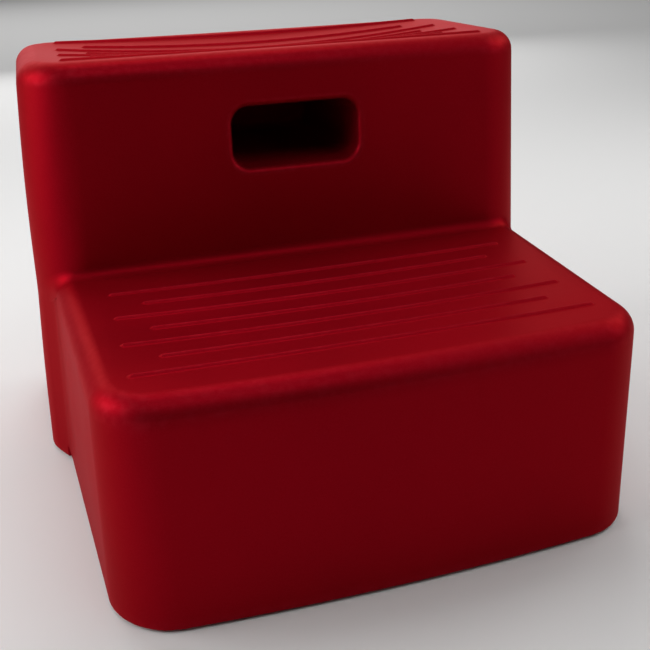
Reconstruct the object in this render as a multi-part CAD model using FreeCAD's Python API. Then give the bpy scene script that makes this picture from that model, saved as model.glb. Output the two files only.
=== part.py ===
"""Two-tread moulded mounting block, in millimetres.

The block is one hollow polyethylene moulding: a full-height rear half, a half-height front step, a
deep hand pocket in the upper riser, and seven raised grip ribs on each tread. It stands on four
push-in rubber feet, and a push-in plug closes the moulding's vent hole in the base.

Frame: +X to the right, the low step faces -Y, +Z up. The origin is the bottom centre of the whole
object, so the feet stand on z = 0.
"""
import FreeCAD, Part
import math
import os

V = FreeCAD.Vector

# ---- driving dimensions -------------------------------------------------------------------------
WALL = 5.0             # moulded wall thickness
FOOT_PROUD = 2.5       # how far the rubber feet stand below the base
BODY_HEIGHT = 420.0    # base to the rim of the upper tread
STEP_HEIGHT = 209.0    # base to the rim of the lower tread

BACK_Y = 272.5         # back wall, at its corners
RISER_Y = 30.0         # upper riser, at its corners
FRONT_BASE_Y = -264.5  # front wall at the base, at its corners
FRONT_TOP_Y = -259.5   # front wall at the lower tread
BACK_BOW = 2.0         # how far each wall bows outwards at its middle
RISER_BOW = 3.3
FRONT_BOW = 11.0

# half widths: the walls lean inwards as they rise, and the low step narrows towards the front
UPPER_BASE_REAR, UPPER_BASE_FRONT = 287.5, 285.0
UPPER_TOP_REAR, UPPER_TOP_FRONT = 264.0, 262.0
STEP_BASE_REAR, STEP_BASE_FRONT = 266.0, 243.0
STEP_TOP_REAR, STEP_TOP_FRONT = 256.0, 237.0
STEP_OVERLAP = 70.0    # how far the low step's solid runs on inside the rear half

REAR_CORNER_R = 44.0   # upright corners
RISER_CORNER_R = 55.0
FRONT_CORNER_R = 50.0
TREAD_EDGE_R = 20.0
BASE_EDGE_R = 2.0
JUNCTION_R = 10.0      # hollow fillet where the low step meets the riser

UPPER_DISH = 13.8      # how far each tread sags at its lowest point
LOWER_DISH = 4.2
UPPER_DISH_BACK = 21.0 # how far behind its middle the upper tread is lowest
RIB_COUNT = 7
RIB_PITCH = 30.6
RIB_WIDTH = 8.0
RIB_HEIGHT = 2.3
RIB_EDGE_R = 1.6       # rounding along the top of each rib
UPPER_RIB_HALF = (222.0, 192.4)   # half lengths of the long and the short ribs
LOWER_RIB_HALF = (207.5, 178.9)
UPPER_RIB_REAR_Y = 243.7
LOWER_RIB_REAR_Y = -28.2

POCKET_X = 3.0         # centre of the hand pocket
POCKET_Z = 338.0
POCKET_WIDTH = 134.0
POCKET_HEIGHT = 63.0
POCKET_DEPTH = 185.0
POCKET_CORNER_R = 18.0
POCKET_TAPER = 4.0     # each wall closes in by this much at the back
POCKET_LIP_R = 6.0

FOOT_X = 225.0
FOOT_REAR_Y = 225.0
FOOT_FRONT_X = 190.0
FOOT_FRONT_Y = -215.0
FOOT_R = 16.0
FOOT_RECESS = 2.0
FOOT_STEM_R = 5.0
FOOT_STEM_LENGTH = 14.0
FIT_GAP = 0.3          # round parts stay this far apart
SOCKET_WALL = 4.0

PLUG_X = 0.0
PLUG_Y = 150.0
VENT_R = 7.0
PLUG_FLANGE_R = 13.0
PLUG_FLANGE = 2.0
PLUG_BEAD_R = 8.2
PLUG_BEAD = 3.0


def outline(half_rear, half_front, y_rear, y_front, rear_bow, front_bow, z):
    """Closed wire of a four-sided plan: straight sides, front and back each one bowed arc."""
    rear_left = V(-half_rear, y_rear, z)
    rear_right = V(half_rear, y_rear, z)
    front_left = V(-half_front, y_front, z)
    front_right = V(half_front, y_front, z)
    front = Part.Arc(front_left, V(0, y_front - front_bow, z), front_right).toShape()
    back = Part.Arc(rear_right, V(0, y_rear + rear_bow, z), rear_left).toShape()
    right = Part.makeLine(front_right, rear_right)
    left = Part.makeLine(rear_left, front_left)
    return Part.Wire([front, right, back, left])


def upright_edges(solid, y_test):
    """The edges that run from base to top and whose middle passes y_test."""
    found = []
    for edge in solid.Edges:
        low = edge.BoundBox.ZMin
        high = edge.BoundBox.ZMax
        middle = edge.valueAt((edge.FirstParameter + edge.LastParameter) / 2)
        if high - low > 0.5 * solid.BoundBox.ZLength and y_test(middle.y):
            found.append(edge)
    return found


def level_edges(solid, z):
    """The edges that lie in the plane at height z."""
    return [e for e in solid.Edges if abs(e.BoundBox.ZMin - z) < 0.01 and e.BoundBox.ZLength < 0.01]


def dish_face(half_x, y_front, y_rear, z, depth, shift=0.0):
    """A biquadratic face, level at its four edges. It is depth lower at a point shift behind its middle."""
    middle_y = (y_front + y_rear) / 2 + 2 * shift
    surface = Part.BezierSurface()
    surface.increase(2, 2)
    for row, x in enumerate((-half_x, 0.0, half_x)):
        for column, y in enumerate((y_front, middle_y, y_rear)):
            lowered = 4 * depth if row == 1 and column == 1 else 0.0
            surface.setPole(row + 1, column + 1, V(x, y, z - lowered))
    return surface.toShape()


def upper_dish(z):
    """The hollow of the upper tread, whose rim is at height z."""
    inset = TREAD_EDGE_R
    front_y = RISER_Y + inset - RISER_BOW / 2
    return dish_face(UPPER_TOP_FRONT - inset, front_y, BACK_Y - inset, z, UPPER_DISH, UPPER_DISH_BACK)


def lower_dish(z):
    """The hollow of the lower tread, whose rim is at height z."""
    inset = TREAD_EDGE_R
    half = STEP_TOP_FRONT - inset
    return dish_face(half, FRONT_TOP_Y + inset, RISER_Y - inset - RISER_BOW / 2, z, LOWER_DISH)


def rear_half(inset):
    """The full-height rear block, with every wall moved in by inset."""
    base_z = FOOT_PROUD + inset
    top_z = FOOT_PROUD + BODY_HEIGHT - inset
    base = outline(UPPER_BASE_REAR - inset, UPPER_BASE_FRONT - inset, BACK_Y - inset, RISER_Y + inset,
                   BACK_BOW, RISER_BOW, base_z)
    top = outline(UPPER_TOP_REAR - inset, UPPER_TOP_FRONT - inset, BACK_Y - inset, RISER_Y + inset,
                  BACK_BOW, RISER_BOW, top_z)
    block = Part.makeLoft([base, top], True, True)
    block = block.makeFillet(RISER_CORNER_R - inset, upright_edges(block, lambda y: y < 150))
    block = block.makeFillet(REAR_CORNER_R - inset, upright_edges(block, lambda y: y > 200))
    block = block.makeFillet(TREAD_EDGE_R - inset, level_edges(block, top_z))
    return block.cut(upper_dish(top_z).extrude(V(0, 0, 40)))


def low_step(inset):
    """The half-height front block, which runs on inside the rear half."""
    base_z = FOOT_PROUD + inset
    top_z = FOOT_PROUD + STEP_HEIGHT - inset
    run = RISER_Y - FRONT_BASE_Y
    reach = 1 + STEP_OVERLAP / run
    base_rear = STEP_BASE_FRONT + (STEP_BASE_REAR - STEP_BASE_FRONT) * reach
    top_rear = STEP_TOP_FRONT + (STEP_TOP_REAR - STEP_TOP_FRONT) * reach
    rear_y = RISER_Y + STEP_OVERLAP
    base = outline(base_rear - inset, STEP_BASE_FRONT - inset, rear_y, FRONT_BASE_Y + inset,
                   0.1, FRONT_BOW, base_z)
    top = outline(top_rear - inset, STEP_TOP_FRONT - inset, rear_y, FRONT_TOP_Y + inset,
                  0.1, FRONT_BOW, top_z)
    block = Part.makeLoft([base, top], True, True)
    block = block.makeFillet(FRONT_CORNER_R - inset, upright_edges(block, lambda y: y < 0))
    rims = [e for e in level_edges(block, top_z) if e.BoundBox.YMin < rear_y - 5]
    block = block.makeFillet(TREAD_EDGE_R - inset, rims)
    return block.cut(lower_dish(top_z).extrude(V(0, 0, 40)))


def rounded_slot(y, grow):
    """Wire of a rounded rectangle in the plane at y, larger than the pocket by grow all round."""
    half_w = POCKET_WIDTH / 2 + grow
    half_h = POCKET_HEIGHT / 2 + grow
    r = POCKET_CORNER_R + min(grow, 0.0) * 0.5
    edges = []
    corners = ((1, 1, 0), (-1, 1, 90), (-1, -1, 180), (1, -1, 270))
    centres = [V(POCKET_X + sx * (half_w - r), y, POCKET_Z + sz * (half_h - r)) for sx, sz, _ in corners]
    for index, (_, _, start) in enumerate(corners):
        centre = centres[index]
        points = [centre + V(r * math.cos(math.radians(a)), 0, r * math.sin(math.radians(a)))
                  for a in (start, start + 45, start + 90)]
        edges.append(Part.Arc(*points).toShape())
        following = centres[(index + 1) % 4]
        angle = math.radians(start + 90)
        edges.append(Part.makeLine(points[2], following + V(r * math.cos(angle), 0, r * math.sin(angle))))
    return Part.Wire(edges)


def hand_pocket(grow):
    """The blind pocket behind the riser. A positive grow gives the outside of its moulded walls."""
    mouth_y = RISER_Y - 20
    back_y = RISER_Y + POCKET_DEPTH + grow
    slope = POCKET_TAPER / POCKET_DEPTH
    mouth = rounded_slot(mouth_y, grow + 20 * slope)
    back = rounded_slot(back_y, grow - POCKET_TAPER)
    return Part.makeLoft([mouth, back], True, True)


def ribs(half_lengths, rear_y, dish, base_z):
    """Seven bars with round ends. Their tops follow the dished tread and have rounded edges."""
    cap = dish(base_z + RIB_HEIGHT).extrude(V(0, 0, -(RIB_HEIGHT + WALL / 2)))
    bars = []
    for index in range(RIB_COUNT):
        half = half_lengths[index % 2] - RIB_WIDTH / 2
        y = rear_y - index * RIB_PITCH
        low_z = base_z - 40
        bar = Part.makeBox(2 * half, RIB_WIDTH, 60, V(-half, y - RIB_WIDTH / 2, low_z))
        for end in (-half, half):
            bar = bar.fuse(Part.makeCylinder(RIB_WIDTH / 2, 60, V(end, y, low_z)))
        bar = bar.removeSplitter().common(cap)
        crest = max(bar.Faces, key=lambda face: face.CenterOfMass.z)
        bars.append(bar.makeFillet(RIB_EDGE_R, crest.Edges))
    return bars


def foot_places():
    """Where each rubber foot is, in plan."""
    return {
        "foot_front_left": (-FOOT_FRONT_X, FOOT_FRONT_Y),
        "foot_front_right": (FOOT_FRONT_X, FOOT_FRONT_Y),
        "foot_rear_left": (-FOOT_X, FOOT_REAR_Y),
        "foot_rear_right": (FOOT_X, FOOT_REAR_Y),
    }


def step_body():
    """The moulding: outside, less the pocket and the hollow, plus the foot sockets."""
    outer = rear_half(0).fuse(low_step(0)).removeSplitter()
    outer = outer.makeFillet(JUNCTION_R, junction_edges(outer))
    outer = outer.makeFillet(BASE_EDGE_R, level_edges(outer, FOOT_PROUD))
    outer = outer.cut(hand_pocket(0))
    outer = outer.makeFillet(POCKET_LIP_R, pocket_mouth(outer))
    hollow = rear_half(WALL).fuse(low_step(WALL)).removeSplitter()
    hollow = hollow.cut(hand_pocket(WALL))
    top = FOOT_PROUD + BODY_HEIGHT
    tread = FOOT_PROUD + STEP_HEIGHT
    bars = ribs(UPPER_RIB_HALF, UPPER_RIB_REAR_Y, upper_dish, top)
    bars += ribs(LOWER_RIB_HALF, LOWER_RIB_REAR_Y, lower_dish, tread)
    socket_r = FOOT_STEM_R + FIT_GAP
    socket_top = FOOT_PROUD + FOOT_RECESS + FOOT_STEM_LENGTH + FIT_GAP
    recess_r = FOOT_R + FIT_GAP
    for x, y in foot_places().values():
        boss_height = socket_top + SOCKET_WALL - FOOT_PROUD
        hollow = hollow.cut(Part.makeCylinder(socket_r + SOCKET_WALL, boss_height, V(x, y, FOOT_PROUD)))
        seat_height = FOOT_RECESS + SOCKET_WALL
        hollow = hollow.cut(Part.makeCylinder(recess_r + SOCKET_WALL, seat_height, V(x, y, FOOT_PROUD)))
    vent_seat = PLUG_FLANGE_R + FIT_GAP
    hollow = hollow.cut(Part.makeCylinder(vent_seat + WALL, PLUG_FLANGE + WALL, V(PLUG_X, PLUG_Y, FOOT_PROUD)))
    body = outer.multiFuse(bars).removeSplitter()
    body = body.cut(hollow)
    for x, y in foot_places().values():
        body = body.cut(Part.makeCylinder(recess_r, FOOT_RECESS + 5, V(x, y, FOOT_PROUD - 5)))
        body = body.cut(Part.makeCylinder(socket_r, socket_top - FOOT_PROUD, V(x, y, FOOT_PROUD)))
    body = body.cut(Part.makeCylinder(vent_seat, PLUG_FLANGE + 5, V(PLUG_X, PLUG_Y, FOOT_PROUD - 5)))
    body = body.cut(Part.makeCylinder(VENT_R, 3 * WALL, V(PLUG_X, PLUG_Y, FOOT_PROUD)))
    return body


def junction_edges(solid):
    """Hollow edges where the low step meets the rear half: across the riser and down each side."""
    tread_z = FOOT_PROUD + STEP_HEIGHT
    found = []
    for edge in solid.Edges:
        box = edge.BoundBox
        at_riser = RISER_Y - RISER_BOW - 1 < box.YMin and box.YMax < RISER_Y + RISER_CORNER_R
        in_base = box.ZMax < FOOT_PROUD + 0.01
        if at_riser and box.ZMax < tread_z + 0.01 and not in_base:
            found.append(edge)
    return found


def pocket_mouth(solid):
    """The edges of the pocket where it breaks through the riser."""
    found = []
    for edge in solid.Edges:
        box = edge.BoundBox
        inside_x = abs(box.XMin - POCKET_X) < POCKET_WIDTH and abs(box.XMax - POCKET_X) < POCKET_WIDTH
        inside_z = abs(box.ZMin - POCKET_Z) < POCKET_HEIGHT and abs(box.ZMax - POCKET_Z) < POCKET_HEIGHT
        on_riser = RISER_Y - RISER_BOW - 1 < box.YMin and box.YMax < RISER_Y + 1
        if inside_x and inside_z and on_riser:
            found.append(edge)
    return found


def rubber_foot(x, y):
    """A round pad with a domed edge, and the stem that holds it in its socket."""
    height = FOOT_PROUD + FOOT_RECESS
    pad = Part.makeCylinder(FOOT_R, height, V(x, y, 0))
    pad = pad.makeFillet(1.2, level_edges(pad, 0.0))
    stem = Part.makeCylinder(FOOT_STEM_R, FOOT_STEM_LENGTH, V(x, y, height))
    stem = stem.makeChamfer(1.2, level_edges(stem, height + FOOT_STEM_LENGTH))
    return pad.fuse(stem).removeSplitter()


def vent_plug():
    """A flat flange, a short stem and the bead that snaps behind the base wall."""
    seat_z = FOOT_PROUD + PLUG_FLANGE
    through = WALL + FIT_GAP
    flange = Part.makeCylinder(PLUG_FLANGE_R, PLUG_FLANGE, V(PLUG_X, PLUG_Y, FOOT_PROUD))
    stem = Part.makeCylinder(VENT_R - FIT_GAP, through, V(PLUG_X, PLUG_Y, seat_z))
    bead = Part.makeCone(PLUG_BEAD_R, VENT_R - 2, PLUG_BEAD, V(PLUG_X, PLUG_Y, seat_z + through))
    return flange.fuse(stem).fuse(bead).removeSplitter()


def main():
    """Write one STEP file for each piece."""
    os.makedirs("parts", exist_ok=True)
    nodes = {"step_body": step_body(), "vent_plug": vent_plug()}
    for name, (x, y) in foot_places().items():
        nodes[name] = rubber_foot(x, y)
    for name, shape in nodes.items():
        shape.exportStep(os.path.join("parts", name + ".step"))
        box = shape.BoundBox
        print(name, "solids", len(shape.Solids), "valid", shape.isValid(), "volume", round(shape.Volume),
              "box", [round(v, 1) for v in (box.XMin, box.YMin, box.ZMin, box.XMax, box.YMax, box.ZMax)])


main()
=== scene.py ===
"""Two-tread moulded mounting block: the looks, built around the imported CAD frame. Metres, +Z up.

The block's skin is one surface, written as a signed function that is negative inside the plastic:
leaning walls, rounded corners, dished treads, ribs, the hollow crease at the riser and the hand
pocket. A stair-shaped grid of quads is made first, with lines close together where the shape turns,
and each of its points is then moved onto the surface.
"""
import math

import bpy
import numpy as np
from mathutils import Matrix, Vector
from mathutils.geometry import delaunay_2d_cdt


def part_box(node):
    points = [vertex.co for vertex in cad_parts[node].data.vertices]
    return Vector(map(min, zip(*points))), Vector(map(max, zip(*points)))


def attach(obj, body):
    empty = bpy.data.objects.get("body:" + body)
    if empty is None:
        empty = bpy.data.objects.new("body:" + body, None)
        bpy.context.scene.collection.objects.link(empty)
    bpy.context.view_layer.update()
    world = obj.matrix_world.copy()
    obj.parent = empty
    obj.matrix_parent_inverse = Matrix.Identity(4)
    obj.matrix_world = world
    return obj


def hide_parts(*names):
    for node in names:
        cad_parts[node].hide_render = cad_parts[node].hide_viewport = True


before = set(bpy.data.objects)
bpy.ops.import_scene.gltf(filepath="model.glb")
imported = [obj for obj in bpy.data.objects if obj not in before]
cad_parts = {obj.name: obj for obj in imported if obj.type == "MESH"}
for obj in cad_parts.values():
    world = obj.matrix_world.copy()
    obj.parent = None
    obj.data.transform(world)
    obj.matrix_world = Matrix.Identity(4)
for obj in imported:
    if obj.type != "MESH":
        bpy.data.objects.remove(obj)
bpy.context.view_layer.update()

# ---- the moulding's sizes ------------------------------------------------------------------------
BODY_LOW, BODY_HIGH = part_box("step_body")
BASE_Z = BODY_LOW.z
RIB_HEIGHT = 0.0024
BODY_HEIGHT = 0.420
STEP_HEIGHT = 0.209
RIM_Z = BASE_Z + BODY_HEIGHT
TREAD_Z = BASE_Z + STEP_HEIGHT

BACK_BOW, RISER_BOW, FRONT_BOW = 0.002, 0.0033, 0.011
BACK_Y = BODY_HIGH.y - BACK_BOW
RISER_Y = 0.030
FRONT_BASE_Y = BODY_LOW.y + FRONT_BOW
FRONT_TOP_Y = FRONT_BASE_Y + 0.005

UPPER_BASE_HALF = (0.2850, 0.2875)   # half widths at the front and at the rear of the tall half
UPPER_TOP_HALF = (0.2620, 0.2640)
STEP_BASE_HALF = (0.2430, 0.2660)    # the same for the low step, which narrows towards the front
STEP_TOP_HALF = (0.2370, 0.2560)
WAIST_Z = 0.1875                     # the left wall swells above this height
WAIST_SWELL = 0.0022
RIGHT_SPREAD = 0.0024                # the right wall leans in less than the left one

REAR_CORNER_R, RISER_CORNER_R = 0.044, 0.055
FRONT_CORNER_R = (0.052, 0.046)      # at the base and at the tread
TREAD_EDGE_R, BASE_EDGE_R = 0.020, 0.002
JUNCTION_R = 0.011

UPPER_DISH, LOWER_DISH = 0.0138, 0.0042
UPPER_DISH_LOW_AT = 0.60             # the upper tread is lowest this far from its front edge
RIM_SAG = 0.0015                     # the upper tread's back rim sags at its middle

RIB_COUNT, RIB_PITCH, RIB_R = 7, 0.0306, 0.0044
UPPER_RIB_HALF = (0.2228, 0.1932)    # half lengths of the long and the short ribs
LOWER_RIB_HALF = (0.2083, 0.1797)
UPPER_RIB_REAR_Y, LOWER_RIB_REAR_Y = 0.2437, -0.0282

POCKET_X, POCKET_Z = 0.003, 0.338
POCKET_HALF_W, POCKET_HALF_H, POCKET_DEPTH = 0.067, 0.0315, 0.185
POCKET_CORNER_R, POCKET_LIP_R, POCKET_BACK_R = 0.018, 0.006, 0.012
POCKET_TAPER = 0.004

FEET = ("foot_front_left", "foot_front_right", "foot_rear_left", "foot_rear_right")
PLUG = "vent_plug"
SEAT_DEPTH, SEAT_GAP = 0.002, 0.0003
SEAT_STEPS = LATHE_STEPS = 48
RED_DEEP, RED_FULL = (0.265, 0.0006, 0.0063, 1), (0.290, 0.0008, 0.0070, 1)
RED_PALE = (0.36, 0.012, 0.022, 1)
RED_ROUGHNESS = 0.50
RED_TINTED_GLOSS, RED_CLEAR_GLOSS = 0.56, 0.06       # the share of gloss that takes the red, and the rest
RED_GLOSS_TINT = (1.0, 0.04, 0.10, 1)
RUBBER_BLACK, RUBBER_DUST = (0.014, 0.014, 0.014, 1), (0.05, 0.048, 0.045, 1)
PLUG_BLACK, PLUG_DUST = (0.018, 0.018, 0.02, 1), (0.04, 0.04, 0.042, 1)
FLOOR_PALE = (0.75, 0.745, 0.74, 1)
EDGE_HIGHLIGHT_R = 0.015                  # edges rounder than this get a fainter painted highlight

# ---- the stage -----------------------------------------------------------------------------------
CAMERA_PLACE = (-0.2371, -0.8536, 0.5237)
CAMERA_TURN = (-15.638, 22.899, -2.175)      # degrees: azimuth, downward tilt and roll
CAMERA_LENS, CAMERA_SHIFT = 49.42, (0.0230, -0.0176)
BLOCK_MIDDLE = (0, 0, 0.2)
LIGHTS = (                                   # name, place, aim, size and watts
    ("left_low", (-1.9, 0.10, 0.70), BLOCK_MIDDLE, (1.6, 1.0), 12.5),
    ("left_high", (-1.9, 0.20, 1.35), BLOCK_MIDDLE, (1.6, 1.0), 20),
    ("right_high", (1.8, 0.20, 1.45), BLOCK_MIDDLE, (1.6, 1.0), 13.3),
    ("right_front", (1.7, -0.85, 0.9), BLOCK_MIDDLE, (1.4, 1.0), 5),
    ("over_front", (0.0, -0.95, 1.8), (0, -0.1, 0.2), (1.4, 0.9), 5.7),
    ("back_high", (0.0, 0.60, 2.2), (0, 0.1, 0.2), (1.6, 1.0), 12),
    ("back_panel", (0.0, 3.2, 1.4), (0, 0, 0.4), (4.0, 2.0), 34),
    ("floor_wash", (0.0, 6.0, 4.0), (0, 6.0, 0), (9.0, 6.0), 240),
)


# ---- the skin as a signed function ---------------------------------------------------------------
def mix(a, b, t):
    return a + (b - a) * t


def smooth_step(t):
    t = np.clip(t, 0, 1)
    return t * t * (3 - 2 * t)


def both(a, b, r):
    """Inside both shapes, with the outer edge between them rounded to radius r."""
    over_a, over_b = np.maximum(r + a, 0), np.maximum(r + b, 0)
    return np.minimum(-r, np.maximum(a, b)) + np.hypot(over_a, over_b)


def either(a, b, r):
    """Inside either shape, with the inner crease between them filled to radius r."""
    under_a, under_b = np.maximum(r - a, 0), np.maximum(r - b, 0)
    return np.maximum(r, np.minimum(a, b)) - np.hypot(under_a, under_b)


def bow(x, half):
    return np.clip(1 - (x / half) ** 2, 0, 1)


def ribs(x, y, half_lengths, rear_y):
    """Height of the grip ribs: round-ended, with a domed section."""
    index = np.clip(np.round((rear_y - y) / RIB_PITCH), 0, RIB_COUNT - 1)
    half = np.where(index % 2 == 0, half_lengths[0], half_lengths[1]) - RIB_R
    away = np.hypot(np.maximum(np.abs(x) - half, 0), y - (rear_y - index * RIB_PITCH))
    return RIB_HEIGHT * smooth_step((RIB_R - away) / RIB_R)


def dish(x, y, half, front_y, back_y, low_at):
    """Share of the full dish depth: 1 at its lowest point, 0 at the rim, with no crease there."""
    along = np.clip((y - front_y) / (back_y - front_y), 0, 1)
    power = math.log(0.5) / math.log(low_at)
    across_depth = 4 * along ** power * (1 - along ** power)
    return across_depth * bow(x, half)


def upper_tread(x, y):
    """Height of the upper tread: dished, sagging a little at its back rim, and ribbed."""
    inset = TREAD_EDGE_R
    depth = dish(x, y, UPPER_TOP_HALF[0] - inset, RISER_Y - RISER_BOW + inset, BACK_Y - inset,
                 UPPER_DISH_LOW_AT)
    sag = RIM_SAG * smooth_step((y - RISER_Y) / (BACK_Y - RISER_Y)) * bow(x, UPPER_TOP_HALF[1])
    return RIM_Z - UPPER_DISH * depth - sag + ribs(x, y, UPPER_RIB_HALF, UPPER_RIB_REAR_Y)


def lower_tread(x, y):
    inset = TREAD_EDGE_R
    depth = dish(x, y, STEP_TOP_HALF[0] - inset, FRONT_TOP_Y - FRONT_BOW + inset, RISER_Y - inset, 0.5)
    return TREAD_Z - LOWER_DISH * depth + ribs(x, y, LOWER_RIB_HALF, LOWER_RIB_REAR_Y)


def upper_half_width(x, y, z):
    up = (z - BASE_Z) / BODY_HEIGHT
    back = np.clip((y - RISER_Y) / (BACK_Y - RISER_Y), 0, 1)
    half = mix(mix(*UPPER_BASE_HALF, back), mix(*UPPER_TOP_HALF, back), up)
    above = np.clip((z - WAIST_Z) / (RIM_Z - WAIST_Z), 0, 1)
    below = np.clip((WAIST_Z - z) / WAIST_Z, 0, 1)
    swell = WAIST_SWELL * np.sin(math.pi * above) + 0.4 * WAIST_SWELL * np.sin(math.pi * below)
    spread = RIGHT_SPREAD * smooth_step((z - BASE_Z) / STEP_HEIGHT)
    return half + np.where(x < 0, swell, spread)


def step_half_width(x, y, z):
    up = (z - BASE_Z) / STEP_HEIGHT
    back = (y - FRONT_BASE_Y) / (RISER_Y - FRONT_BASE_Y)
    half = mix(mix(*STEP_BASE_HALF, back), mix(*STEP_TOP_HALF, back), up)
    return half + np.where(x < 0, 0, RIGHT_SPREAD * smooth_step(up) * np.clip(back, 0.2, 1))


def tall_half(x, y, z):
    half = upper_half_width(x, y, z)
    lens = bow(x, half)
    front = RISER_Y - RISER_BOW * lens - y
    back = y - BACK_Y - BACK_BOW * lens
    corner_r = mix(RISER_CORNER_R, REAR_CORNER_R, smooth_step((y - 0.10) / 0.10))
    wall = both(np.abs(x) - half, np.maximum(front, back), corner_r)
    return both(wall, z - upper_tread(x, y), TREAD_EDGE_R)


def low_step(x, y, z):
    half = step_half_width(x, y, z)
    up = (z - BASE_Z) / STEP_HEIGHT
    front = mix(FRONT_BASE_Y, FRONT_TOP_Y, up) - FRONT_BOW * bow(x, half) - y
    back = y - RISER_Y - 0.07
    wall = both(np.abs(x) - half, np.maximum(front, back), mix(*FRONT_CORNER_R, np.clip(up, 0, 1)))
    return both(wall, z - lower_tread(x, y), TREAD_EDGE_R)


def hand_pocket(x, y, z):
    deep = y - RISER_Y
    close = POCKET_TAPER * deep / POCKET_DEPTH
    beside = np.abs(x - POCKET_X) - (POCKET_HALF_W - close - POCKET_CORNER_R)
    above = np.abs(z - POCKET_Z) - (POCKET_HALF_H - close - POCKET_CORNER_R)
    slot = np.hypot(np.maximum(beside, 0), np.maximum(above, 0)) - POCKET_CORNER_R
    slot += np.minimum(np.maximum(beside, above), 0)
    return both(slot, deep - POCKET_DEPTH, POCKET_BACK_R)


def skin(p):
    x, y, z = p.T
    block = either(tall_half(x, y, z), low_step(x, y, z), JUNCTION_R)
    block = both(block, BASE_Z - z, BASE_EDGE_R)
    return both(block, -hand_pocket(x, y, z), POCKET_LIP_R)


def slope(p, reach=2e-5):
    """The skin function's gradient at each point."""
    out = np.empty_like(p)
    for axis in range(3):
        step = np.zeros(3)
        step[axis] = reach
        out[:, axis] = (skin(p + step) - skin(p - step)) / (2 * reach)
    return out


# ---- the grid that is moved onto the skin --------------------------------------------------------
def ruler(*stretches):
    """Coordinates from low to high through stretches of (start, end, spacing)."""
    parts = [np.linspace(a, b, max(1, round(abs(b - a) / gap)) + 1) for a, b, gap in stretches]
    joined = np.sort(np.concatenate(parts))
    keep = np.concatenate([[True], np.diff(joined) > 2e-4])
    return joined[keep]


def rib_rows(rear_y):
    """Places across each rib: close together on it, with three between it and the next."""
    beside = np.array([0.0006, 0.0017, 0.0028, 0.0039, 0.0050, 0.0090])
    offsets = np.concatenate([-beside, beside, [-RIB_PITCH / 2]])
    centres = rear_y - RIB_PITCH * np.arange(RIB_COUNT)
    return (centres[:, None] + offsets).ravel()


SIDE_X, STEP_SIDE_X = UPPER_BASE_HALF[1], STEP_BASE_HALF[1]
INNER_X = 0.214          # lines inside this keep their x, and those outside follow the walls' lean
UPPER_STRETCH = UPPER_RIB_HALF[0] / LOWER_RIB_HALF[0]
RISER_FADE, FRONT_FADE = 0.019, 0.018    # how far from the riser and the front their bow reaches
CREASE_SHIFT, CREASE_FADE = 0.0134, 0.060    # how deep the low step meets the riser's round corner
POCKET_FADE = 0.020                      # how far around the pocket its round corners reach
EDGE_ROWS, EDGE_GAP = 0.016, 0.002       # the fine rows beside each rounded edge, and their spacing
LIP_OUT, LIP_OUT_GAP = 0.009, 0.0015     # the same outside the pocket's edge, and inside it
LIP_IN, LIP_IN_GAP = 0.016, 0.0027
RIB_END_GAP, WALL_GAP = 0.0012, 0.011    # the spacing over the ribs' ends, and up the plain walls
CLEAR_GAP = 0.003                        # lines of different rulers keep this far apart
SEEK_ROUNDS, LEAST_SLOPE = 14, 0.2       # steps onto the skin, and the flattest slope trusted there


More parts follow.
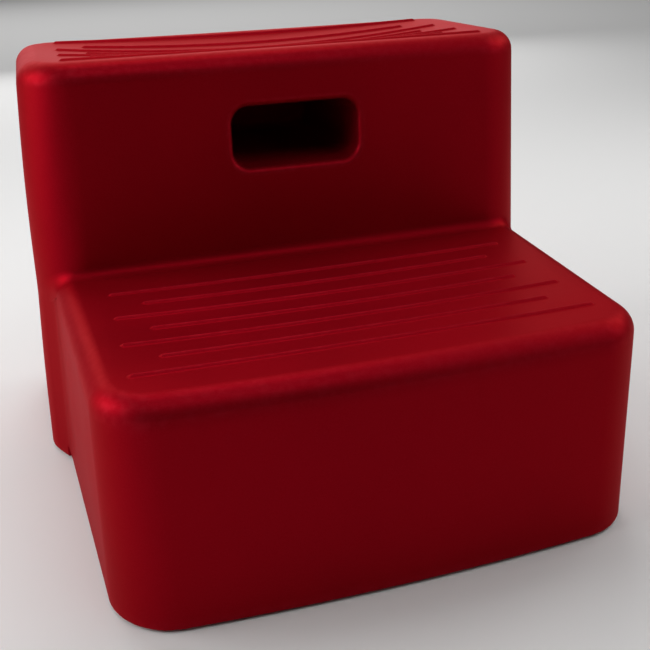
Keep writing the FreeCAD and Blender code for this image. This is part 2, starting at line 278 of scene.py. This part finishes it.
def grid_lines():
    """The grid's x, y and z lines, and the pocket's left, right, low and high ones among them."""
    half_x = ruler((0, 0.168, 0.013),
                   (0.173, 0.181, RIB_END_GAP),
                   (0.181, 0.2015, 0.010),
                   (0.2015, 0.2100, RIB_END_GAP),
                   (0.2100, STEP_SIDE_X, 0.0032),
                   (STEP_SIDE_X, SIDE_X, 0.0024))
    stretch = mix(1, UPPER_STRETCH, (POCKET_Z - TREAD_Z) / (RIM_Z - TREAD_Z))
    pocket_left, pocket_right = ((POCKET_X + side * POCKET_HALF_W) / stretch for side in (-1, 1))
    left = ruler((pocket_left - LIP_OUT, pocket_left, LIP_OUT_GAP),
                 (pocket_left, pocket_left + LIP_IN, LIP_IN_GAP))
    right = ruler((pocket_right - LIP_IN, pocket_right, LIP_IN_GAP),
                  (pocket_right, pocket_right + LIP_OUT, LIP_OUT_GAP))
    xs = np.unique(np.concatenate([-half_x, half_x, left, right]).round(7))
    for lip in (left, right):
        near = (xs > lip[0] - CLEAR_GAP) & (xs < lip[-1] + CLEAR_GAP)
        xs = xs[~near | np.isin(xs, lip.round(7))]

    front_y = FRONT_BASE_Y
    lower = ruler((front_y, front_y + EDGE_ROWS, EDGE_GAP), (front_y + EDGE_ROWS, front_y + 0.028, 0.006))
    lower_end = ruler((RISER_Y - 0.022, RISER_Y, EDGE_GAP))
    upper = ruler((RISER_Y, RISER_Y + EDGE_ROWS, EDGE_GAP))
    upper_end = ruler((BACK_Y - EDGE_ROWS, BACK_Y, EDGE_GAP))
    low_ribs, high_ribs = rib_rows(LOWER_RIB_REAR_Y), rib_rows(UPPER_RIB_REAR_Y)
    low_ribs = low_ribs[(low_ribs > lower[-1] + CLEAR_GAP) & (low_ribs < lower_end[0] - CLEAR_GAP)]
    high_ribs = high_ribs[(high_ribs > upper[-1] + CLEAR_GAP) & (high_ribs < upper_end[0] - CLEAR_GAP)]
    back_wall = RISER_Y + POCKET_DEPTH
    ys = np.unique(np.concatenate([lower, lower_end, upper, upper_end, low_ribs, high_ribs]).round(7))
    ys[np.argmin(np.abs(ys - back_wall))] = back_wall

    pocket_low, pocket_high = POCKET_Z - POCKET_HALF_H, POCKET_Z + POCKET_HALF_H
    zs = ruler((BASE_Z, BASE_Z + 0.0030, 0.0006),
               (BASE_Z + 0.0030, TREAD_Z - EDGE_ROWS, WALL_GAP),
               (TREAD_Z - EDGE_ROWS, TREAD_Z, EDGE_GAP),
               (TREAD_Z, TREAD_Z + 0.014, EDGE_GAP),
               (TREAD_Z + 0.014, pocket_low - LIP_OUT, WALL_GAP),
               (pocket_low - LIP_OUT, pocket_low, LIP_OUT_GAP),
               (pocket_low, pocket_low + LIP_IN, LIP_IN_GAP),
               (pocket_low + LIP_IN, pocket_high - LIP_IN, 0.008),
               (pocket_high - LIP_IN, pocket_high, LIP_IN_GAP),
               (pocket_high, pocket_high + LIP_OUT, LIP_OUT_GAP),
               (pocket_high + LIP_OUT, RIM_Z - EDGE_ROWS, 0.006),
               (RIM_Z - EDGE_ROWS, RIM_Z, EDGE_GAP))
    pocket_box = (pocket_left, pocket_right, pocket_low, pocket_high)
    return xs, ys, zs, pocket_box


def boundary_quads(solid):
    """Corner indices (i, j, k) of each quad between a filled and an empty cell, facing outwards."""
    padded = np.pad(solid, 1)
    quads = []
    for axis in range(3):
        lower = np.moveaxis(padded, axis, 0)
        change = lower[1:].astype(int) - lower[:-1].astype(int)
        for sign in (1, -1):
            i, j, k = np.nonzero(change == sign)
            j, k = j - 1, k - 1
            ring = [(i, j, k), (i, j, k + 1), (i, j + 1, k + 1), (i, j + 1, k)]
            if sign == -1:
                ring = ring[::-1]
            corners = np.array(ring).transpose(2, 0, 1)
            order = {0: [0, 1, 2], 1: [1, 0, 2], 2: [1, 2, 0]}[axis]
            corners = corners[:, :, order]
            if axis == 1:
                corners = corners[:, ::-1]
            quads.append(corners)
    return np.concatenate(quads)


def fade(y, peak, reach):
    """1 at the height of a bowed wall and 0 before the nearest rib."""
    return np.clip(1 - np.abs(y - peak) / reach, 0, 1)


def front_shift(x, y, z):
    """How far the grid's front rows move with the leaning, bowed front wall."""
    lean = (FRONT_TOP_Y - FRONT_BASE_Y) * np.clip((z - BASE_Z) / STEP_HEIGHT, 0, 1)
    clear = FRONT_BASE_Y + TREAD_EDGE_R
    share = np.where(y < clear, 1, fade(y, clear, FRONT_FADE))
    return (lean - FRONT_BOW * bow(x, STEP_BASE_HALF[0])) * share


def round_pocket(x, y, z):
    """Bends the grid's square corners around the hand pocket to its round ones."""
    straight_x, straight_z = POCKET_HALF_W - POCKET_CORNER_R, POCKET_HALF_H - POCKET_CORNER_R
    beside, above = np.abs(x - POCKET_X) - straight_x, np.abs(z - POCKET_Z) - straight_z
    square = np.maximum(beside, above)
    pull = square / np.maximum(np.hypot(beside, above), 1e-9)
    away = np.clip((square - POCKET_CORNER_R) / POCKET_FADE, 0, 1)
    at_corner = (beside > 0) & (above > 0) & (y < RISER_Y + POCKET_DEPTH + 1e-6)
    factor = np.where(at_corner, mix(pull, 1, away), 1)
    x = np.where(at_corner, POCKET_X + np.sign(x - POCKET_X) * (straight_x + beside * factor), x)
    z = np.where(at_corner, POCKET_Z + np.sign(z - POCKET_Z) * (straight_z + above * factor), z)
    return x, z


def lean_with_walls(p):
    """Moves the grid near the skin, so that each point then has only a short way to go."""
    x, y, z = p.T
    outer = np.sign(x)
    reach = np.abs(x)
    in_step = y < RISER_Y - 1e-6
    up = np.clip((z - TREAD_Z) / (RIM_Z - TREAD_Z), 0, 1)
    stretch = mix(1, UPPER_STRETCH, up)
    wall = np.where(in_step, step_half_width(x, y, np.minimum(z, TREAD_Z)), upper_half_width(x, y, z))
    grid_wall = np.where(in_step, STEP_SIDE_X, SIDE_X)
    beyond = np.clip((reach - INNER_X) / (grid_wall - INNER_X), 0, None)
    inner = INNER_X * stretch
    x = outer * np.where(reach > INNER_X, mix(inner, wall, beyond), reach * stretch)
    riser_shift = RISER_BOW * bow(x, wall) * fade(y, RISER_Y, RISER_FADE)
    y = y + np.where(in_step, front_shift(x, y, z), 0) - riser_shift
    beside_step = ~in_step & (reach > STEP_SIDE_X - 1e-6) & (z < TREAD_Z - TREAD_EDGE_R)
    y = np.where(beside_step, y + CREASE_SHIFT * fade(y, RISER_Y, CREASE_FADE), y)
    on_tread = in_step & (np.abs(z - TREAD_Z) < 1e-6)
    on_top = np.abs(z - RIM_Z) < 1e-6
    z = np.where(on_tread, lower_tread(x, y), z)
    z = np.where(on_top, upper_tread(x, y), z)
    x, z = round_pocket(x, y, z)
    return np.stack([x, y, z], 1)


def block_mesh():
    xs, ys, zs, (pocket_left, pocket_right, pocket_low, pocket_high) = grid_lines()
    x, y, z = ((v[1:] + v[:-1]) / 2 for v in (xs, ys, zs))
    x, y, z = x[:, None, None], y[None, :, None], z[None, None, :]
    solid = (y > RISER_Y) | ((z < TREAD_Z) & (np.abs(x) < STEP_SIDE_X))
    in_pocket = (x > pocket_left) & (x < pocket_right) & (z > pocket_low) & (z < pocket_high)
    solid = solid & ~(in_pocket & (y > RISER_Y) & (y < RISER_Y + POCKET_DEPTH))
    corners = boundary_quads(solid)
    flat = corners.reshape(-1, 3)
    ids, inverse = np.unique(flat, axis=0, return_inverse=True)
    points = np.stack([xs[ids[:, 0]], ys[ids[:, 1]], zs[ids[:, 2]]], 1)
    points = lean_with_walls(points)
    for _ in range(SEEK_ROUNDS):
        gradient = slope(points)
        size = np.maximum((gradient ** 2).sum(1), LEAST_SLOPE)
        points = points - (skin(points) / size)[:, None] * gradient
    return points, inverse.reshape(-1, 4)


def outer_loop(quads):
    """The points around a patch of quads, in order."""
    edges = np.concatenate([quads[:, [a, (a + 1) % 4]] for a in range(4)]).tolist()
    inner = {(b, a) for a, b in edges}
    follows = {a: b for a, b in edges if (a, b) not in inner}
    loop = [next(iter(follows))]
    while follows[loop[-1]] != loop[0]:
        loop.append(follows[loop[-1]])
    return loop


def seats():
    """The round hollows in the base that take the feet and the plug: centre and radius."""
    found = []
    for node in FEET + (PLUG,):
        low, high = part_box(node)
        centre = (low + high) / 2
        found.append((centre.x, centre.y, (high.x - low.x) / 2 + SEAT_GAP))
    return found


def base_with_seats(points, quads):
    """The flat of the base made again around its seats: new points, and faces with their normals."""
    flat = (np.abs(points[quads][:, :, 2] - BASE_Z) < 1e-6).all(1)
    loop = outer_loop(quads[flat])
    plan = [Vector(points[index][:2]) for index in loop]
    edges = [(i, (i + 1) % len(loop)) for i in range(len(loop))]
    turns = [Vector((math.cos(a), math.sin(a))) for a in np.arange(SEAT_STEPS) * 2 * math.pi / SEAT_STEPS]
    added, faces, normals = [], [], []
    ids = list(loop)
    for x, y, radius in seats():
        first, start = len(points) + len(added), len(plan)
        ring = [Vector((x, y)) + radius * turn for turn in turns]
        plan += ring
        edges += [(start + i, start + (i + 1) % SEAT_STEPS) for i in range(SEAT_STEPS)]
        ids += range(first, first + SEAT_STEPS)
        for z in (BASE_Z, BASE_Z + SEAT_DEPTH):
            added += [(p.x, p.y, z) for p in ring]
        for i in range(SEAT_STEPS):
            j = (i + 1) % SEAT_STEPS
            faces.append([first + i, first + j, first + SEAT_STEPS + j, first + SEAT_STEPS + i])
            normals += [(-turns[k].x, -turns[k].y, 0.0) for k in (i, j, j, i)]
        faces.append([first + SEAT_STEPS + i for i in reversed(range(SEAT_STEPS))])
        normals += [(0.0, 0.0, -1.0)] * SEAT_STEPS
    _, _, triangles, origins, _, _ = delaunay_2d_cdt(plan, edges, [], 1, 1e-7)
    for triangle in triangles:
        corners = [origins[i][0] for i in triangle]
        owners = {(i - len(loop)) // SEAT_STEPS if i >= len(loop) else -1 for i in corners}
        if len(owners) > 1 or -1 in owners:
            faces.append([ids[i] for i in reversed(corners)])
            normals += [(0.0, 0.0, -1.0)] * 3
    return flat, added, faces, normals


def make_piece(name, points, faces, normals=None):
    """An object with smooth faces. The normals, where given, are one for each corner of each face."""
    mesh = bpy.data.meshes.new(name)
    mesh.from_pydata(points, [], faces)
    mesh.polygons.foreach_set("use_smooth", np.ones(len(mesh.polygons), bool))
    if normals is None:
        mesh.set_sharp_from_angle(angle=math.radians(40))
    else:
        mesh.normals_split_custom_set(normals)
    mesh.update()
    piece = bpy.data.objects.new(name, mesh)
    bpy.context.scene.collection.objects.link(piece)
    return piece


def sharpness(points, reach=0.004):
    """How tightly the skin turns at each point: 1 on a small outer edge, 0 on a flat or a hollow."""
    total = -6 * skin(points)
    for axis in range(3):
        step = np.zeros(3)
        step[axis] = reach
        total += skin(points + step) + skin(points - step)
    return np.clip(total / reach ** 2 * EDGE_HIGHLIGHT_R, 0, 1)


def moulding():
    points, quads = block_mesh()
    normals = slope(points)
    normals /= np.linalg.norm(normals, axis=1)[:, None]
    flat, added, faces, seat_normals = base_with_seats(points, quads)
    kept = quads[~flat]
    everything = points.tolist() + added
    corner_normals = normals[kept].reshape(-1, 3).tolist() + seat_normals
    piece = make_piece("moulded_block", everything, kept.tolist() + faces, corner_normals)
    # each point's edge sharpness, which the red material turns into a painted highlight
    edge_highlight = piece.data.attributes.new("edge", "FLOAT", "POINT")
    edge_highlight.data.foreach_set("value", np.concatenate([sharpness(points), np.zeros(len(added))]))
    return piece


def lathe(name, profile, centre):
    """A round piece about an upright axis, from its (radius, height) outline."""
    turns = np.arange(LATHE_STEPS) * 2 * math.pi / LATHE_STEPS
    points, faces = [], []
    for radius, z in profile:
        points += [(centre.x + radius * math.cos(a), centre.y + radius * math.sin(a), z) for a in turns]
    for row in range(len(profile) - 1):
        for i in range(LATHE_STEPS):
            j = (i + 1) % LATHE_STEPS
            low, high = row * LATHE_STEPS, (row + 1) * LATHE_STEPS
            faces.append([low + i, low + j, high + j, high + i])
    faces.append(list(reversed(range(LATHE_STEPS))))
    faces.append([len(points) - LATHE_STEPS + i for i in range(LATHE_STEPS)])
    return make_piece(name, points, faces)


def grooved(radii, bottom, depth, width):
    """The ringed underside of a round pad, from its middle outwards."""
    outline = []
    for radius in radii:
        half = width / 2
        outline += [(radius - half, bottom), (radius - half + depth / 2, bottom + depth),
                    (radius + half - depth / 2, bottom + depth), (radius + half, bottom)]
    return outline


def rounded_rim(radius, low, r, steps=5):
    """A quarter round from the underside out to the side of a pad."""
    angles = [math.pi / 2 * i / steps for i in range(steps + 1)]
    return [(radius - r + r * math.sin(a), low + r - r * math.cos(a)) for a in angles]


def rubber_foot(node):
    low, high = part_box(node)
    radius = (high.x - low.x) / 2
    top = BASE_Z + SEAT_DEPTH
    profile = [(0.0015, low.z)] + grooved((0.0045, 0.0080, 0.0115), low.z, 0.0007, 0.0018)
    profile += rounded_rim(radius, low.z, 0.0012)
    profile += [(radius, top), (0.0050, top)]
    for barb in range(3):
        start = top + 0.002 + 0.0036 * barb
        profile += [(0.0046, start), (0.0050, start + 0.0003), (0.0046, start + 0.0026)]
    profile += [(0.0046, high.z - 0.0012), (0.0036, high.z)]
    return lathe(node.replace("foot", "rubber_pad"), profile, (low + high) / 2)


def vent_plug():
    low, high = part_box(PLUG)
    radius = (high.x - low.x) / 2
    top = BASE_Z + SEAT_DEPTH
    profile = [(0.0012, low.z + 0.0006), (0.0040, low.z + 0.0006), (0.0050, low.z)]
    profile += grooved((0.0085,), low.z, 0.0006, 0.0016) + rounded_rim(radius, low.z, 0.0006)
    neck, catch_z = 0.0067, high.z - 0.003
    profile += [(radius, top), (neck, top), (neck, catch_z), (0.0082, catch_z), (0.0050, high.z)]
    return lathe("vent_cap", profile, (low + high) / 2)


# ---- materials -----------------------------------------------------------------------------------
def new_material(name):
    material = bpy.data.materials.new(name)
    material.use_nodes = True
    tree = material.node_tree
    return material, tree, tree.nodes["Principled BSDF"]


def node(tree, kind, inputs, **settings):
    """A new node. Each input is linked where it is given a socket, and set where it is a value."""
    made = tree.nodes.new(kind)
    for name, value in settings.items():
        setattr(made, name, value)
    for name, value in inputs.items():
        if isinstance(value, bpy.types.NodeSocket):
            tree.links.new(value, made.inputs[name])
        else:
            made.inputs[name].default_value = value
    return made


def noise(tree, place, scale, detail):
    inputs = {"Vector": place, "Scale": scale, "Detail": detail}
    return node(tree, "ShaderNodeTexNoise", inputs).outputs["Fac"]


def rescale(tree, value, start, end, low, high):
    """The value's stretch from start to end, turned smoothly into low to high."""
    inputs = {"Value": value, "From Min": start, "From Max": end, "To Min": low, "To Max": high}
    return node(tree, "ShaderNodeMapRange", inputs, interpolation_type="SMOOTHSTEP").outputs["Result"]


def blend(tree, amount, first, second):
    """Two colours mixed by amount."""
    made = node(tree, "ShaderNodeMix", {"Factor": amount}, data_type="RGBA")
    for index, colour in ((6, first), (7, second)):
        if isinstance(colour, bpy.types.NodeSocket):
            tree.links.new(colour, made.inputs[index])
        else:
            made.inputs[index].default_value = colour
    return made.outputs[2]


def maths(tree, operation, first, second):
    made = tree.nodes.new("ShaderNodeMath")
    made.operation = operation
    for socket, value in zip(made.inputs, (first, second)):
        if isinstance(value, bpy.types.NodeSocket):
            tree.links.new(value, socket)
        else:
            socket.default_value = value
    return made.outputs[0]


def bumps(tree, layers):
    """Bump layers stacked one on another: each is a height, its strength and its depth in metres."""
    normal = None
    for height, strength, depth in layers:
        inputs = {"Height": height, "Strength": strength, "Distance": depth}
        if normal is not None:
            inputs["Normal"] = normal
        normal = node(tree, "ShaderNodeBump", inputs).outputs["Normal"]
    return normal


def specks(tree, place, scale, size):
    """Small round blemishes, one in some of the cells of a scattered pattern."""
    cells = node(tree, "ShaderNodeTexVoronoi", {"Vector": place, "Scale": scale})
    near = rescale(tree, cells.outputs["Distance"], 0.3 * size * scale, size * scale, 1.0, 0.0)
    picked = node(tree, "ShaderNodeSeparateColor", {"Color": cells.outputs["Color"]}).outputs[0]
    return maths(tree, "MULTIPLY", near, rescale(tree, picked, 0.55, 0.60, 0.0, 1.0))


def red_plastic():
    """Rotationally moulded polyethylene: satin, with a fine grain, small pimples and a patchy painted
    highlight on its sharp outer edges.
    """
    material, tree, shader = new_material("red_polyethylene")
    place = node(tree, "ShaderNodeTexCoord", {}).outputs["Object"]
    edge = node(tree, "ShaderNodeAttribute", {}, attribute_name="edge").outputs["Fac"]
    cloud = noise(tree, place, 6, 3)
    peel = noise(tree, place, 140, 2)
    grain = noise(tree, place, 900, 3)
    pimples = specks(tree, place, 22, 0.0011)
    # painted highlight: sharp outer edges are mixed towards the pale red in patches, and are made a
    # little glossier there
    paler, patchy = rescale(tree, edge, 0.25, 1.0, 0.0, 1.0), rescale(tree, peel, 0.35, 0.7, 0.2, 1.0)
    painted_edge_highlight = maths(tree, "MULTIPLY", paler, patchy)

    tone = blend(tree, rescale(tree, cloud, 0.3, 0.7, 0.0, 1.0), RED_DEEP, RED_FULL)
    tone = blend(tree, rescale(tree, grain, 0.35, 0.75, 0.0, 0.25), tone, RED_PALE)
    # the painted edge highlight, mixed into the colour
    tone = blend(tree, maths(tree, "MULTIPLY", painted_edge_highlight, 0.35), tone, RED_PALE)
    tone = blend(tree, maths(tree, "MULTIPLY", pimples, 0.6), tone, RED_PALE)
    tree.links.new(tone, shader.inputs["Base Color"])

    rough = rescale(tree, cloud, 0.3, 0.7, RED_ROUGHNESS - 0.03, RED_ROUGHNESS + 0.03)
    rough = maths(tree, "SUBTRACT", rough, maths(tree, "MULTIPLY", painted_edge_highlight, 0.05))
    tree.links.new(rough, shader.inputs["Roughness"])
    normal = bumps(tree, ((peel, 0.35, 0.00015), (grain, 0.40, 0.00012), (pimples, 0.5, 0.0004)))
    tree.links.new(normal, shader.inputs["Normal"])
    shader.inputs["Metallic"].default_value = RED_TINTED_GLOSS
    shader.inputs["Specular IOR Level"].default_value = RED_CLEAR_GLOSS
    shader.inputs["Specular Tint"].default_value = RED_GLOSS_TINT
    return material


def black_part(name, colour, paler, roughness, grain_size, depth):
    """Rubber or hard plastic: dark, with a grain and dust that has rubbed off unevenly."""
    material, tree, shader = new_material(name)
    place = node(tree, "ShaderNodeTexCoord", {}).outputs["Object"]
    grain = noise(tree, place, 1 / grain_size, 3)
    dust = noise(tree, place, 90, 4)
    tone = blend(tree, rescale(tree, dust, 0.45, 0.75, 0.0, 1.0), colour, paler)
    tree.links.new(tone, shader.inputs["Base Color"])
    rough = rescale(tree, dust, 0.3, 0.7, roughness - 0.06, roughness + 0.06)
    tree.links.new(rough, shader.inputs["Roughness"])
    tree.links.new(bumps(tree, ((grain, 0.5, depth),)), shader.inputs["Normal"])
    shader.inputs["Specular IOR Level"].default_value = 0.4
    return material


# ---- stage ---------------------------------------------------------------------------------------
def make_floor():
    bpy.ops.mesh.primitive_circle_add(vertices=96, radius=14, fill_type="NGON", location=(0, 0, 0))
    floor = bpy.context.object
    floor.name = "studio_floor"
    material, tree, shader = new_material("floor_paper")
    shader.inputs["Base Color"].default_value = FLOOR_PALE
    shader.inputs["Roughness"].default_value = 0.8
    floor.data.materials.append(material)


def soft_light(name, place, aim, size, power):
    data = bpy.data.lights.new(name, "AREA")
    data.shape = "RECTANGLE"
    data.size, data.size_y = size
    data.energy = power
    lamp = bpy.data.objects.new(name, data)
    bpy.context.scene.collection.objects.link(lamp)
    lamp.location = place
    lamp.rotation_euler = (Vector(aim) - Vector(place)).to_track_quat("-Z", "Y").to_euler()
    lamp.visible_camera = False


def make_lights():
    for light in LIGHTS:
        soft_light(*light)
    world = bpy.data.worlds.new("studio")
    bpy.context.scene.world = world
    world.use_nodes = True
    background = world.node_tree.nodes["Background"]
    background.inputs["Color"].default_value = (0.8, 0.82, 0.85, 1)
    background.inputs["Strength"].default_value = 0.02


def make_camera():
    data = bpy.data.cameras.new("camera")
    data.lens = CAMERA_LENS
    data.sensor_width = 36
    data.shift_x, data.shift_y = CAMERA_SHIFT
    camera = bpy.data.objects.new("camera", data)
    bpy.context.scene.collection.objects.link(camera)
    azimuth, tilt, roll = (math.radians(angle) for angle in CAMERA_TURN)
    turn = Matrix.Rotation(azimuth, 4, "Z") @ Matrix.Rotation(math.pi / 2 - tilt, 4, "X")
    camera.matrix_world = Matrix.Translation(CAMERA_PLACE) @ turn @ Matrix.Rotation(roll, 4, "Z")
    bpy.context.scene.camera = camera


def finish_piece(piece, material, stands_for):
    """Gives a piece its material, parents it to the root body, and hides the CAD node that it stands for.
    """
    piece.data.materials.append(material)
    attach(piece, "root")
    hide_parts(stands_for)


def main():
    block = moulding()
    finish_piece(block, red_plastic(), "step_body")
    rubber = black_part("foot_rubber_grained", RUBBER_BLACK, RUBBER_DUST, 0.82, 0.0006, 0.0001)
    for foot in FEET:
        finish_piece(rubber_foot(foot), rubber, foot)
    hard = black_part("plug_polyethylene", PLUG_BLACK, PLUG_DUST, 0.5, 0.0009, 0.00008)
    finish_piece(vent_plug(), hard, PLUG)
    make_floor()
    make_lights()
    make_camera()
    bpy.context.scene.view_settings.view_transform = "Standard"


main()
